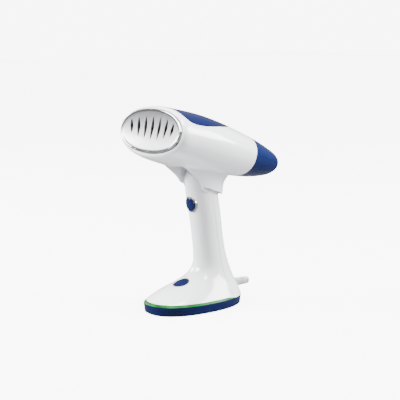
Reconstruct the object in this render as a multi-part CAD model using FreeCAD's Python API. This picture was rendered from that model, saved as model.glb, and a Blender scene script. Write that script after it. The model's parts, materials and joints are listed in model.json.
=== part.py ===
import FreeCAD, Part
import math
import os

V = FreeCAD.Vector

# Folding handheld garment steamer. Millimetres. +Z is up, the steam plate faces -Y and X is the width.
# The origin is the centre of the sole's underside.

# ---- Overall sizes
HEAD_LENGTH = 168.5  # along the barrel, from the plate's plane to the tank's end
HEAD_HALF_WIDTH = 56.5
HEAD_HALF_HEIGHT = 31.5
HEAD_TILT = 14.3  # degrees that the plate looks up
FACE_Y = -62.0  # centre of the steam plate's plane
FACE_Z = 206.0
FOOT_HALF_WIDTH = 38.0
FOOT_HALF_LENGTH = 62.8
FOOT_Y = -0.1  # centre of the foot
GRIP_HALF_WIDTH = 16.4
GRIP_HALF_DEPTH = 18.8
FOOT_POWER = 2.3  # superellipse exponents
GRIP_POWER = 2.1
HEAD_POWER = 2.15
NECK_POWER = 2.5
TAIL_ROUND = 9.0

# ---- Walls and clearances
WALL = 2.4
TANK_WALL = 2.2
SEAM = 0.3  # gap between shells of bodies that part
FIT = 0.1  # gap between seated pieces of one body
RUN = 0.05  # radial running clearance of a shaft
SLIDE = 0.3  # side clearance of a button

# ---- Hinge
PIVOT_S = HEAD_LENGTH / 2 + 2.75  # along the barrel
PIVOT_V = -42.0  # below the barrel's axis
AXLE_R = 4.0
AXLE_BORE = 2.5
KNUCKLE_R = GRIP_HALF_DEPTH + 0.2  # rounded top of the handle
DRUM_R = 12.0
DRUM_HALF = 1.03 * GRIP_HALF_WIDTH + 0.2
CHEEK_GAP = DRUM_HALF + 1.1  # half of the channel's width
BUSH_R = 5.5

# ---- Steam plate
RING_HALF_WIDTH = HEAD_HALF_WIDTH - 4.8
RING_HALF_HEIGHT = HEAD_HALF_HEIGHT - 7.2
RING_GAP = 0.45  # shadow gap between the ring and the head's rim
RING_WALL = 2.1
RING_STANDS_OUT = 2.5
DISH_DEPTH = 1.8
SLOT_PITCH = 11.7
SLOT_LENGTHS = (15.7, 21.0, 23.6, 26.0, 25.0, 21.6, 15.7)
SLOT_WIDTH = 2.8
STEAM_HOLE_R = 2.0
SLOT_FAN = 4.0  # degrees between neighbours
SLOT_RAISE = 3.2  # the row of slots above the plate's centre

# ---- Tank
PART_R = 180.0  # curve of the parting between head and tank
PART_EDGE = 0.748 * HEAD_LENGTH  # station of the parting on the centre line
PART_CENTRE = PART_EDGE - PART_R
NECK_SLACK = 0.7  # round the tank's neck where it passes the head's rear opening
NECK_START = PART_EDGE - 10.0
STOPPER_S = 0.89 * HEAD_LENGTH
STOPPER_R = 8.0

# ---- Base
TRAY_BOTTOM = 1.2
TRAY_TOP = 10.7
STRIP_TOP = 12.9
STRIP_DEPTH = 3.0
STRIP_FULL_TO = 0.36 * FOOT_HALF_LENGTH
STRIP_ENDS_AT = 0.61 * FOOT_HALF_LENGTH

# ---- Buttons
TRIGGER_Z = 118.7
TRIGGER_R = 7.7
TRIGGER_TRAVEL = 2.2
POWER_Y = -18.0
POWER_R = 8.3
POWER_TRAVEL = 1.4
BEZEL_WIDTH = 1.5

# ---- Cord outlet
OUTLET_Z = 19.5
RELIEF_R = 5.2
RELIEF_LENGTH = 26.0
RELIEF_PITCH = 3.6
CORD_BORE = 3.1

COUNT = 32  # points around each cross-section


def superellipse_points(a, b, power):
    """Points round a superellipse with half-axes a and b."""
    points = []
    for i in range(COUNT):
        w = 2 * math.pi * i / COUNT
        p = a * math.copysign(abs(math.cos(w)) ** (2 / power), math.cos(w))
        q = b * math.copysign(abs(math.sin(w)) ** (2 / power), math.sin(w))
        points.append((p, q))
    return points


def smooth_loop(points):
    """Closed smooth curve through the points."""
    curve = Part.BSplineCurve()
    curve.interpolate(Points=points, PeriodicFlag=True)
    return Part.Wire(curve.toShape())


def level_loop(z, y, a, b, power):
    """Horizontal superellipse of half-width a and half-depth b."""
    return smooth_loop([V(p, y + q, z) for p, q in superellipse_points(a, b, power)])


def head_loop(s, v, a, b, power=HEAD_POWER):
    """Superellipse across the barrel at station s, centred at height v."""
    return smooth_loop([V(p, s, v + q) for p, q in superellipse_points(a, b, power)])


def loft(loops):
    return Part.makeLoft(loops, True, False)


def head_prism(s0, s1, v, a, b, power=HEAD_POWER):
    """Straight oval block along the barrel from s0 to s1."""
    face = Part.Face(head_loop(s0, v, a, b, power))
    return face.extrude(V(0, s1 - s0, 0))


def profile_plate(points, half_width):
    """Block of a side outline, (y, z) or (s, v) points, across X."""
    wire = Part.makePolygon([V(-half_width, p, q) for p, q in points + points[:1]])
    return Part.Face(wire).extrude(V(2 * half_width, 0, 0))


def rod(radius, start, end):
    """Cylinder between two points."""
    along = end - start
    return Part.makeCylinder(radius, along.Length, start, along)


def tube(outer, inner, start, end):
    return rod(outer, start, end).cut(rod(inner, start, end))


def bent_rod(radius, points):
    """Round rod along straight runs joined by tangent arcs as large as the runs allow."""
    edges = []
    at = points[0]
    for before, corner, after in zip(points, points[1:], points[2:]):
        back = before - corner
        ahead = after - corner
        half_turn = (math.pi - back.getAngle(ahead)) / 2
        trim = 0.45 * min(back.Length, ahead.Length)
        bend = trim / math.tan(half_turn)
        back.normalize()
        ahead.normalize()
        start = corner + back * trim
        end = corner + ahead * trim
        inward = back + ahead
        inward.normalize()
        middle = corner + inward * (bend / math.cos(half_turn) - bend)
        edges.append(Part.LineSegment(at, start).toShape())
        edges.append(Part.Arc(start, middle, end).toShape())
        at = end
    edges.append(Part.LineSegment(at, points[-1]).toShape())
    path = Part.Wire(edges)
    section = Part.Wire(Part.makeCircle(radius, points[0], points[1] - points[0]))
    return path.makePipeShell([section], True, False)


def joined(shapes):
    """One solid from overlapping shapes."""
    out = shapes[0]
    for shape in shapes[1:]:
        out = out.fuse(shape)
    return out.removeSplitter()


def placed(shape):
    """Head coordinates (X, s, v) turned and moved to where the head stands."""
    out = shape.copy()
    turn = FreeCAD.Rotation(V(1, 0, 0), -HEAD_TILT)
    out.Placement = FreeCAD.Placement(V(0, FACE_Y, FACE_Z), turn).multiply(out.Placement)
    return out


def to_world(s, v):
    """The (y, z) place of a head station and height."""
    t = math.radians(HEAD_TILT)
    y = FACE_Y + s * math.cos(t) + v * math.sin(t)
    z = FACE_Z - s * math.sin(t) + v * math.cos(t)
    return y, z


PIVOT_Y, PIVOT_Z = to_world(PIVOT_S, PIVOT_V)


# ---- Handle and foot


def handle_sections():
    """(z, centre y, half-width, half-depth, power) up the handle from the tray."""
    w, d = GRIP_HALF_WIDTH, GRIP_HALF_DEPTH
    fw, fl = FOOT_HALF_WIDTH, FOOT_HALF_LENGTH
    foot = [
        (TRAY_TOP, FOOT_Y, fw, fl, FOOT_POWER),
        (TRAY_TOP + 5.0, 2.9, 0.91 * fw, 0.93 * fl, FOOT_POWER),
        (22.7, 9.0, 0.775 * fw, 0.792 * fl, 2.25),
        (30.0, 18.2, 0.64 * fw, 0.592 * fl, 2.2),
        (38.0, 24.5, 0.55 * fw, 0.43 * fl, 2.15),
    ]
    grip = [
        (46.7, 26.2, 1.13 * w, 1.175 * d, GRIP_POWER),
        (59.0, 24.8, 1.03 * w, 1.04 * d, GRIP_POWER),
        (80.6, 21.3, 0.98 * w, 0.99 * d, GRIP_POWER),
        (107.0, 17.3, w, d, GRIP_POWER),
        (126.5, 13.6, 1.02 * w, 1.01 * d, GRIP_POWER),
        (PIVOT_Z, PIVOT_Y, 1.02 * w, 1.01 * d, GRIP_POWER),
        (PIVOT_Z + KNUCKLE_R, PIVOT_Y - 2.8, 1.02 * w, 1.01 * d, GRIP_POWER),
    ]
    return foot + grip


def handle_block(grow):
    """The handle and foot as one block, grown by a distance (negative: shrunk)."""
    loops = []
    for z, y, a, b, power in handle_sections():
        loops.append(level_loop(z, y, a + grow, b + grow, power))
    return loft(loops)


def knuckle_zone(shrink):
    """Everything below the pivot, and a round end above that turns within itself."""
    below = Part.makeBox(200, 200, PIVOT_Z, V(-100, -100, 0))
    half = 1.03 * GRIP_HALF_WIDTH - shrink
    wide = Part.makeSphere(KNUCKLE_R - shrink)
    squeeze = FreeCAD.Matrix()
    squeeze.scale(half / (KNUCKLE_R - shrink), 1.0, 1.0)
    end = wide.transformGeometry(squeeze)
    end.translate(V(0, PIVOT_Y, PIVOT_Z))
    return below.fuse(end)


def seam_y(z):
    """Where the front and rear handle shells meet."""
    return 35.2 - 0.152 * z


def seam_zone(front):
    """The block in front of or behind the seam plane."""
    far = -150.0 if front else 150.0
    gap = 0.0 if front else 0.1
    top = 200.0
    points = [(seam_y(0.0) + gap, 0.0), (far, 0.0), (far, top), (seam_y(top) + gap, top)]
    return profile_plate(points, 100.0)


def strip_zone():
    """Where the light strip sits: from the toe, thinning out before the heel."""
    low = -FOOT_HALF_LENGTH - 10.0
    points = [(low, TRAY_TOP), (STRIP_ENDS_AT, TRAY_TOP), (STRIP_FULL_TO, STRIP_TOP), (low, STRIP_TOP)]
    return profile_plate(points, 100.0)


def foot_ring(inset, bottom, top):
    """Block of the foot's outline between two heights, set in by a distance."""
    _, y, a, b, power = handle_sections()[0]
    loop = level_loop(bottom, y, a - inset, b - inset, power)
    return Part.Face(loop).extrude(V(0, 0, top - bottom))


def strip_solid():
    ring = handle_block(0.0).common(foot_ring(-5.0, TRAY_TOP, STRIP_TOP))
    ring = ring.cut(foot_ring(STRIP_DEPTH, TRAY_TOP - 1.0, STRIP_TOP + 1.0))
    return ring.common(strip_zone())


def trigger_axis():
    """Centre of the trigger on the handle's front, and its outward direction."""
    lower, upper = handle_sections()[8:10]
    y0 = lower[1] - lower[3]
    y1 = upper[1] - upper[3]
    slope = (y1 - y0) / (upper[0] - lower[0])
    out = V(0, -1, slope)
    out.normalize()
    return V(0, y0 + slope * (TRIGGER_Z - lower[0]), TRIGGER_Z), out


def power_axis():
    """Centre of the power button on the instep, and its outward direction."""
    lower, upper = handle_sections()[3:5]
    y0 = lower[1] - lower[3]
    y1 = upper[1] - upper[3]
    slope = (upper[0] - lower[0]) / (y1 - y0)
    out = V(0, -slope, 1)
    out.normalize()
    return V(0, POWER_Y, lower[0] + slope * (POWER_Y - y0)), out


def along(axis, radius, low, high):
    """Cylinder on a button's axis, from low to high along its outward direction."""
    centre, out = axis
    return rod(radius, centre + out * low, centre + out * high)


def shell_block():
    """Hollow handle and foot with its button holes, outlet and strip step."""
    outer = handle_block(0.0).common(knuckle_zone(0.0))
    inner = handle_block(-WALL).common(knuckle_zone(WALL))
    base_z = TRAY_TOP
    open_foot = foot_ring(WALL + 1.0, base_z - 1.0, base_z + 2.5)
    shell = outer.cut(inner).cut(open_foot)
    shell = shell.cut(along(trigger_axis(), TRIGGER_R + BEZEL_WIDTH, -7.0, 9.0))
    shell = shell.cut(along(power_axis(), POWER_R + BEZEL_WIDTH, -9.0, 9.0))
    heel = heel_y(OUTLET_Z)
    outlet = rod(RELIEF_R + 0.8 + FIT, V(0, heel - 19, OUTLET_Z), V(0, heel + 20, OUTLET_Z))
    shell = shell.cut(outlet)
    drum = rod(DRUM_R + FIT, V(-30, PIVOT_Y, PIVOT_Z), V(30, PIVOT_Y, PIVOT_Z))
    shell = shell.cut(drum)
    strip = handle_block(1.0).common(foot_ring(-6.0, TRAY_TOP - 0.5, STRIP_TOP + FIT))
    strip = strip.cut(foot_ring(STRIP_DEPTH + FIT, TRAY_TOP - 1.0, STRIP_TOP + 1.0))
    low = -FOOT_HALF_LENGTH - 10.0
    zone = profile_plate(
        [
            (low, TRAY_TOP - 0.5),
            (STRIP_ENDS_AT + 1.0, TRAY_TOP - 0.5),
            (STRIP_ENDS_AT + 1.0, TRAY_TOP + FIT),
            (STRIP_FULL_TO, STRIP_TOP + FIT),
            (low, STRIP_TOP + FIT),
        ],
        100.0,
    )
    return shell.cut(strip.common(zone))


def handle_shells():
    shell = shell_block()
    front = shell.common(seam_zone(True))
    rear = shell.common(seam_zone(False))
    inner = handle_block(-WALL + 0.4)
    for z in (58.0, 96.0):
        y = seam_y(z)
        post = rod(3.4, V(0, y - 30, z), V(0, y, z)).common(inner)
        front = front.fuse(post).cut(rod(1.3, V(0, y - 12, z), V(0, y + 1, z)))
        boss = rod(4.4, V(0, y + 0.1, z), V(0, y + 30, z)).common(inner)
        rear = rear.fuse(boss).cut(rod(3.2, V(0, y + 4.5, z), V(0, y + 30, z)))
        rear = rear.cut(rod(1.7, V(0, y - 1, z), V(0, y + 6, z)))
    return front, rear


def handle_screw_set():
    """Two screws from the rear shell into the front shell's posts."""
    screws = []
    for z in (58.0, 96.0):
        y = seam_y(z)
        head = rod(2.8, V(0, y + 4.6, z), V(0, y + 6.8, z))
        shank = rod(1.25, V(0, y - 9.0, z), V(0, y + 4.7, z))
        cross = Part.makeBox(3.4, 1.0, 0.8, V(-1.7, y + 6.0, z - 0.4))
        cross = cross.fuse(Part.makeBox(0.8, 1.0, 3.4, V(-0.4, y + 6.0, z - 1.7)))
        screws.append(head.fuse(shank).cut(cross))
    return Part.makeCompound(screws)


def bezel(axis, radius, inner_depth):
    """Ring round a button that follows the handle's surface and stands a little proud."""
    ring = along(axis, radius + BEZEL_WIDTH - FIT, -inner_depth, 9.0)
    ring = ring.cut(along(axis, radius, -inner_depth - 1.0, 10.0))
    return ring.common(handle_block(0.5))


def button(axis, radius, skirt, proud):
    """Button cap that follows the handle's surface, domed, with a stem behind it."""
    cap = along(axis, radius - SLIDE, -skirt, 9.0).common(handle_block(proud))
    stem = along(axis, 2.5, -skirt - 4.0, -skirt + 0.5)
    return cap.fuse(stem).removeSplitter()


def switch_block(axis, depth, travel):
    """Switch body behind a button, with its plunger just past the button's travel."""
    centre, out = axis
    top = -depth - travel - 0.4
    body = Part.makeBox(10.0, 8.0, 6.0, V(-5.0, -4.0, top - 7.0))
    plunger = Part.makeCylinder(1.6, 1.2, V(0, 0, top - 1.0))
    block = body.fuse(plunger)
    block.Placement = FreeCAD.Placement(centre, FreeCAD.Rotation(V(0, 0, 1), out))
    return block


def return_dome(axis, start, end):
    """Silicone cone that pushes a button back, from start to end along its axis."""
    height = end - start
    cone = Part.makeCone(5.6, 4.2, height).cut(Part.makeCone(4.8, 3.4, height))
    centre, out = axis
    cone.Placement = FreeCAD.Placement(centre + out * start, FreeCAD.Rotation(V(0, 0, 1), out))
    return cone


# ---- Base


def base_tray():
    """Blue tray under the foot, open above, its wall flush with the foot."""
    _, y, a, b, power = handle_sections()[0]
    outer = loft([level_loop(TRAY_BOTTOM, y, a - 1.2, b - 1.2, power), level_loop(TRAY_TOP, y, a, b, power)])
    inner = foot_ring(STRIP_DEPTH, TRAY_BOTTOM + WALL, TRAY_TOP + 1.0)
    tray = outer.cut(inner)
    for x, yy in base_posts():
        post = tube(3.6, 1.7, V(x, yy, TRAY_BOTTOM), V(x, yy, TRAY_TOP - 1.5))
        tray = tray.fuse(post).cut(rod(1.7, V(x, yy, TRAY_BOTTOM - 1), V(x, yy, TRAY_TOP)))
        tray = tray.cut(rod(3.0, V(x, yy, TRAY_BOTTOM - 1), V(x, yy, TRAY_BOTTOM + 1.6)))
    return tray


def heel_y(z):
    """Where the foot's rear surface is at a height."""
    rows = handle_sections()
    for low, high in zip(rows, rows[1:]):
        if low[0] <= z <= high[0]:
            k = (z - low[0]) / (high[0] - low[0])
            return (1 - k) * (low[1] + low[3]) + k * (high[1] + high[3])
    return rows[-1][1] + rows[-1][3]


def base_posts():
    """(x, y) of the four base screws."""
    x = 0.55 * FOOT_HALF_WIDTH
    y = 0.56 * FOOT_HALF_LENGTH
    return [(i * x, FOOT_Y + j * y) for i in (-1, 1) for j in (-1, 1)]


def sole_pad():
    """Rubber sole with shallow grooves across it."""
    _, y, a, b, power = handle_sections()[0]
    loop = level_loop(0.0, y, a - 3.0, b - 3.0, power)
    pad = Part.Face(loop).extrude(V(0, 0, TRAY_BOTTOM - 0.02))
    for k in (-2, -1, 1, 2):
        pad = pad.cut(Part.makeBox(0.9 * FOOT_HALF_WIDTH, 1.2, 0.5, V(-0.45 * FOOT_HALF_WIDTH, k * 14.0 - 0.6, 0)))
    return pad


def base_screw_set():
    screws = []
    for x, y in base_posts():
        head = rod(2.8, V(x, y, TRAY_BOTTOM + 0.05), V(x, y, TRAY_BOTTOM + 1.55))
        shank = rod(1.5, V(x, y, TRAY_BOTTOM + 1.5), V(x, y, TRAY_TOP + 2.0))
        screws.append(head.fuse(shank))
    return Part.makeCompound(screws)


def light_board():
    """Circuit board in the tray with its row of lamps round the toe."""
    z = TRAY_TOP - 1.4
    board = Part.Face(level_loop(z, FOOT_Y, FOOT_HALF_WIDTH - 4.0, FOOT_HALF_LENGTH - 4.0, FOOT_POWER))
    board = board.extrude(V(0, 0, 1.2))
    for x, y in base_posts():
        board = board.cut(rod(2.2, V(x, y, z - 1), V(x, y, z + 3)))
    window = level_loop(z - 1, FOOT_Y, FOOT_HALF_WIDTH - 13.0, FOOT_HALF_LENGTH - 13.0, FOOT_POWER)
    board = board.cut(Part.Face(window).extrude(V(0, 0, 4)))
    for k in range(9):
        w = math.radians(180 + 22.5 * k)
        x = (FOOT_HALF_WIDTH - 8.5) * math.cos(w)
        y = FOOT_Y + (FOOT_HALF_LENGTH - 8.5) * math.sin(w)
        if all(math.hypot(x - px, y - py) > 5.0 for px, py in base_posts()):
            board = board.fuse(Part.makeBox(3.0, 3.0, 1.4, V(x - 1.5, y - 1.5, z + 1.0)))
    return board


# ---- Cord outlet


def strain_relief():
    """Ribbed flexible sleeve at the heel, with a flange held inside the shell."""
    face = heel_y(OUTLET_Z) - 1.5
    y0 = face - 8.6
    parts = [rod(RELIEF_R + 2.2, V(0, y0, OUTLET_Z), V(0, y0 + 2.4, OUTLET_Z))]
    parts.append(rod(RELIEF_R - 1.3, V(0, y0, OUTLET_Z), V(0, face + RELIEF_LENGTH, OUTLET_Z)))
    parts.append(rod(RELIEF_R + 0.7, V(0, y0 + 2.0, OUTLET_Z), V(0, face + 0.6, OUTLET_Z)))
    ribs = int(RELIEF_LENGTH / RELIEF_PITCH)
    for k in range(ribs):
        y = face + 1.2 + k * RELIEF_PITCH
        taper = 0.9 * k / ribs
        parts.append(rod(RELIEF_R - taper, V(0, y, OUTLET_Z), V(0, y + 0.62 * RELIEF_PITCH, OUTLET_Z)))
    sleeve = joined(parts)
    return sleeve.cut(rod(CORD_BORE, V(0, y0 - 1, OUTLET_Z), V(0, face + RELIEF_LENGTH + 5, OUTLET_Z)))


def cord_clamp():
    """Saddle that grips the cord in front of the sleeve."""
    y = heel_y(OUTLET_Z) - 15.6
    block = Part.makeBox(18.0, 7.0, 9.0, V(-9.0, y - 3.5, OUTLET_Z - 4.0))
    block = block.cut(rod(CORD_BORE, V(0, y - 15, OUTLET_Z), V(0, y + 15, OUTLET_Z)))
    for x in (-6.2, 6.2):
        block = block.cut(rod(1.35, V(x, y, OUTLET_Z - 6), V(x, y, OUTLET_Z + 8)))
    return block


def clamp_screw_set():
    y = heel_y(OUTLET_Z) - 15.6
    top = OUTLET_Z + 5.0
    screws = []
    for x in (-6.2, 6.2):
        head = rod(2.4, V(x, y, top + 0.02), V(x, y, top + 1.8))
        screws.append(head.fuse(rod(1.25, V(x, y, top - 8.5), V(x, y, top + 0.1))))
    return Part.makeCompound(screws)


def control_board():
    """Upright board in the handle with its relay, capacitor and terminal block."""
    z0 = 60.0
    board = Part.makeBox(18.0, 1.6, 52.0, V(-9.0, -0.8, 0))
    relay = Part.makeBox(12.0, 7.0, 15.0, V(-6.0, 0.8, 6.0))
    cell = rod(3.2, V(0, 0.7, 30.0), V(0, 5.4, 30.0))
    block = Part.makeBox(14.0, 5.0, 8.0, V(-7.0, 0.8, 41.0))
    out = board.fuse(relay).fuse(cell).fuse(block)
    for z in (58.0 - z0, 96.0 - z0):
        out = out.cut(rod(5.2, V(0, -10, z), V(0, 14, z)))
    lean = FreeCAD.Rotation(V(1, 0, 0), math.degrees(math.atan(0.152)))
    out.Placement = FreeCAD.Placement(V(0, seam_y(z0) - 7.0, z0), lean)
    return out


def handle_leads():
    """Lead bundle from the control board up to the hinge."""
    y = PIVOT_Y + 6.0
    points = [V(0, y + 6, 104.5), V(0, y + 5.0, 114.0), V(0, y + 2.5, 122.0), V(0, y - 1.0, 129.8)]
    return bent_rod(2.0, points)


# ---- Hinge


def hinge_drum():
    """Round hub clamped between the handle shells; the head turns round it."""
    drum = rod(DRUM_R, V(-DRUM_HALF, PIVOT_Y, PIVOT_Z), V(DRUM_HALF, PIVOT_Y, PIVOT_Z))
    drum = drum.cut(rod(BUSH_R, V(-30, PIVOT_Y, PIVOT_Z), V(30, PIVOT_Y, PIVOT_Z)))
    slot = Part.makeBox(8.0, 6.0, 12.0, V(-4.0, PIVOT_Y - 3.0, PIVOT_Z - DRUM_R - 1.0))
    return drum.cut(slot)


def hinge_bushes():
    bushes = []
    for side in (-1, 1):
        a = V(side * 6.0, PIVOT_Y, PIVOT_Z)
        b = V(side * DRUM_HALF, PIVOT_Y, PIVOT_Z)
        bushes.append(tube(BUSH_R - 0.02, AXLE_R + RUN, a, b))
    return Part.makeCompound(bushes)


def hinge_axle():
    """Hollow steel axle held in the head's two cheeks."""
    half = CHEEK_GAP + 1.4
    axle = tube(AXLE_R, AXLE_BORE, V(-half, PIVOT_Y, PIVOT_Z), V(half, PIVOT_Y, PIVOT_Z))
    return axle


def hinge_washers():
    """Thin washers between the drum's ends and the cheeks."""
    washers = []
    for side in (-1, 1):
        a = V(side * (DRUM_HALF + 0.1), PIVOT_Y, PIVOT_Z)
        b = V(side * (CHEEK_GAP - 0.05), PIVOT_Y, PIVOT_Z)
        washers.append(tube(8.0, AXLE_R + RUN, a, b))
    return Part.makeCompound(washers)


# ---- Head, in head coordinates (X, s along the barrel, v up)


def barrel_sections():
    """(s, v of centre, half-width, half-height) along the barrel."""
    w, h, ln = HEAD_HALF_WIDTH, HEAD_HALF_HEIGHT, HEAD_LENGTH
    return [
        (RING_STANDS_OUT, -0.2, 0.945 * w, 0.835 * h),
        (4.2, -0.4, 0.975 * w, 0.882 * h),
        (8.5, -0.8, 0.997 * w, 0.925 * h),
        (0.12 * ln, -1.4, w, 0.965 * h),
        (0.28 * ln, -1.8, 0.997 * w, h),
        (0.44 * ln, -2.4, 0.97 * w, 0.965 * h),
        (0.6 * ln, -3.1, 0.905 * w, 0.882 * h),
        (0.78 * ln, -4.4, 0.81 * w, 0.765 * h),
        (0.915 * ln, -5.6, 0.73 * w, 0.625 * h),
        (ln, -6.0, 0.655 * w, 0.49 * h),
    ]


def barrel(shrink, start=None, end=None):
    """The head's whole outer form, set in by a distance, rounded at its tail."""
    loops = []
    for s, v, a, b in barrel_sections():
        loops.append(head_loop(s, v, a - shrink, b - shrink))
    body = loft(loops)
    tail = [e for e in body.Edges if abs(e.BoundBox.YMin - HEAD_LENGTH) < 0.01 and e.BoundBox.YLength < 0.01]
    body = body.makeFillet(max(TAIL_ROUND - shrink, 2.0), tail)
    if shrink > 0 and end is None:
        end = HEAD_LENGTH - shrink
    if start is not None or end is not None:
        low = -10.0 if start is None else start
        high = HEAD_LENGTH + 10.0 if end is None else end
        body = body.common(Part.makeBox(200, high - low, 120, V(-100, low, -60)))
    return body


def front_of_parting(radius):
    """Everything in front of the curved parting between the head and the tank."""
    return rod(radius, V(0, PART_CENTRE, -80), V(0, PART_CENTRE, 80))


def rim_zone():
    """The side outline above the neck's slanted lower rim."""
    rim = Part.BSplineCurve()
    rim.interpolate([V(0, s, v) for s, v in neck_rim()])
    first = V(0, *neck_rim()[0])
    last = V(0, *neck_rim()[-1])
    corners = [last, V(0, last.y, 0), V(0, first.y, 0), first]
    sides = [Part.LineSegment(a, b).toShape() for a, b in zip(corners, corners[1:])]
    face = Part.Face(Part.Wire([rim.toShape()] + sides))
    face.translate(V(-60, 0, 0))
    return face.extrude(V(120, 0, 0))


def neck_rim():
    """(s, v) points of the neck's lower rim, front to back."""
    p, q = PIVOT_S, PIVOT_V
    return [
        (p - 62.0, q + 10.5),
        (p - 49.0, q + 7.6),
        (p - 37.0, q + 3.2),
        (p - 26.0, q - 1.8),
        (p - 15.0, q - 5.2),
        (p - 4.0, q - 6.8),
        (p + 13.0, q - 8.4),
        (p + 35.0, q - 11.0),
    ]


def neck_loops(shrink):
    """Level ovals of the neck, from below the rim up into the barrel."""
    rows = [
        (PIVOT_V - 12.0, PIVOT_S + 3.4, 24.0, CHEEK_GAP + 2.3),
        (PIVOT_V - 4.0, PIVOT_S, 27.0, CHEEK_GAP + 2.6),
        (PIVOT_V + 5.0, PIVOT_S - 8.0, 36.0, CHEEK_GAP + 3.6),
        (PIVOT_V + 12.0, PIVOT_S - 13.0, 44.5, CHEEK_GAP + 6.0),
        (PIVOT_V + 22.0, PIVOT_S - 13.0, 48.0, CHEEK_GAP + 10.0),
    ]
    loops = []
    for v, s, half, wide in rows:
        points = superellipse_points(wide - shrink, half - shrink, NECK_POWER)
        loops.append(smooth_loop([V(p, s + q, v) for p, q in points]))
    return loops


def channel(grow):
    """Space that the handle turns in, open below and to the front."""
    top = PIVOT_V + KNUCKLE_R + 0.7 + grow
    floor = PIVOT_V - 20.0
    front = PIVOT_S - 55.0 - grow
    flat = PIVOT_S + DRUM_R + 0.6
    back = PIVOT_S + KNUCKLE_R + 0.6 + grow
    ceiling = [(PIVOT_S - 23.0, top), (PIVOT_S + 9.0, top)]
    points = [(front, floor), (front, PIVOT_V + 8.0 + grow)] + ceiling + [(flat, top - 2.0), (flat, floor)]
    block = profile_plate(points, CHEEK_GAP + grow)
    points = [(flat - 1.0, floor), (flat - 1.0, top - 2.0), (back, PIVOT_V + 12.0 + grow), (back + 6.0, floor)]
    return block.fuse(profile_plate(points, 40.0).common(loft(neck_loops(WALL - grow))))


def inlay_side():
    """(x, s) points down the shield-shaped inlay's right side, from the rim to the tip."""
    w, ln = HEAD_HALF_WIDTH, HEAD_LENGTH
    return [
        (0.28 * w, 9.2),
        (0.53 * w, 8.9),
        (0.73 * w, 9.6),
        (0.83 * w, 12.5),
        (0.872 * w, 0.112 * ln),
        (0.877 * w, 0.172 * ln),
        (0.84 * w, 0.273 * ln),
        (0.76 * w, 0.362 * ln),
        (0.637 * w, 0.457 * ln),
        (0.47 * w, 0.525 * ln),
        (0.29 * w, 0.576 * ln),
        (0.13 * w, 0.617 * ln),
    ]


def inlay_outline(grow):
    """The inlay in plan, grown by a distance."""
    right = [(x + grow, s) for x, s in inlay_side()]
    left = [(-x, s) for x, s in reversed(right)]
    tip = V(0, 0.65 * HEAD_LENGTH + 2 * grow, 0)
    front = [(0.0, 9.5 - grow)]
    curve = Part.BSplineCurve()
    curve.interpolate([tip] + [V(x, s - grow / 2, 0) for x, s in left + front + right] + [tip])
    return Part.Face(Part.Wire(curve.toShape()))


def inlay_column(grow):
    """Upright block over the inlay's outline."""
    return inlay_outline(grow).extrude(V(0, 0, 60))


def head_shell():
    """Barrel with the neck's cheeks, open at the plate and at the tank."""
    outer = barrel(0.0).common(front_of_parting(PART_R))
    cavity = barrel(WALL).common(Part.makeBox(200, HEAD_LENGTH, 120, V(-100, 9.0, -60)))
    mouth = head_prism(-1.0, 12.0, 0.0, RING_HALF_WIDTH + RING_GAP, RING_HALF_HEIGHT + RING_GAP)
    neck = loft(neck_loops(0.0)).common(rim_zone())
    shell = outer.fuse(neck)
    shell = shell.cut(cavity).cut(mouth)
    shell = shell.cut(channel(0.0))
    groove = inlay_column(0.15).common(barrel(-1.0)).cut(barrel(1.3))
    shell = shell.cut(groove)
    axle = rod(AXLE_R + 0.02, V(-CHEEK_GAP - 1.5, PIVOT_S, PIVOT_V), V(CHEEK_GAP + 1.5, PIVOT_S, PIVOT_V))
    return shell.cut(axle)


def hinge_housing():
    """Liner that closes the barrel over the fold channel."""
    wall = 1.6
    liner = channel(wall).cut(channel(0.0)).common(barrel(WALL + FIT))
    return liner.common(Part.makeBox(200, 150, 60, V(-100, 0, PIVOT_V + 5.0)))


def top_inlay():
    inlay = inlay_column(0.0).common(barrel(-0.25)).cut(barrel(1.2))
    return inlay


def plate_ring():
    """Bright ring that frames the steam plate and stands out of the rim."""
    outer = head_prism(0.0, 9.0, 0.0, RING_HALF_WIDTH, RING_HALF_HEIGHT)
    inner = head_prism(-1.0, 10.0, 0.0, RING_HALF_WIDTH - RING_WALL, RING_HALF_HEIGHT - RING_WALL)
    return outer.cut(inner)


def steam_plate():
    """Dished plate with seven pointed steam slots, each with a round hole."""
    a = RING_HALF_WIDTH - RING_WALL - FIT
    b = RING_HALF_HEIGHT - RING_WALL - FIT
    plate = head_prism(0.8, 9.0, 0.0, a, b)
    dish = [
        (0.0, 1.01),
        (0.8, 0.97),
        (0.8 + 0.45 * DISH_DEPTH, 0.84),
        (0.8 + 0.75 * DISH_DEPTH, 0.66),
        (0.8 + 0.93 * DISH_DEPTH, 0.4),
        (0.8 + DISH_DEPTH, 0.12),
    ]
    bowl = loft([head_loop(s, 0.0, a * k, b * k) for s, k in dish])
    plate = plate.cut(bowl)
    for k, length in enumerate(SLOT_LENGTHS):
        plate = plate.cut(slot_cut(k - 3, length))
    return plate


def slot_cut(place, length):
    """Lens-shaped slot with a round hole in its middle."""
    x = place * SLOT_PITCH
    half = length / 2
    tip_a = V(0, 0, half)
    tip_b = V(0, 0, -half)
    right = Part.Arc(tip_a, V(SLOT_WIDTH / 2, 0, 0), tip_b).toShape()
    left = Part.Arc(tip_b, V(-SLOT_WIDTH / 2, 0, 0), tip_a).toShape()
    lens = Part.Face(Part.Wire([right, left])).extrude(V(0, 14, 0))
    hole = Part.makeCylinder(STEAM_HOLE_R, 14, V(0, 0, 0), V(0, 1, 0))
    cut = lens.fuse(hole)
    turn = FreeCAD.Rotation(V(0, 1, 0), SLOT_FAN * place)
    cut.Placement = FreeCAD.Placement(V(x, -1.0, SLOT_RAISE), turn)
    return cut


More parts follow.
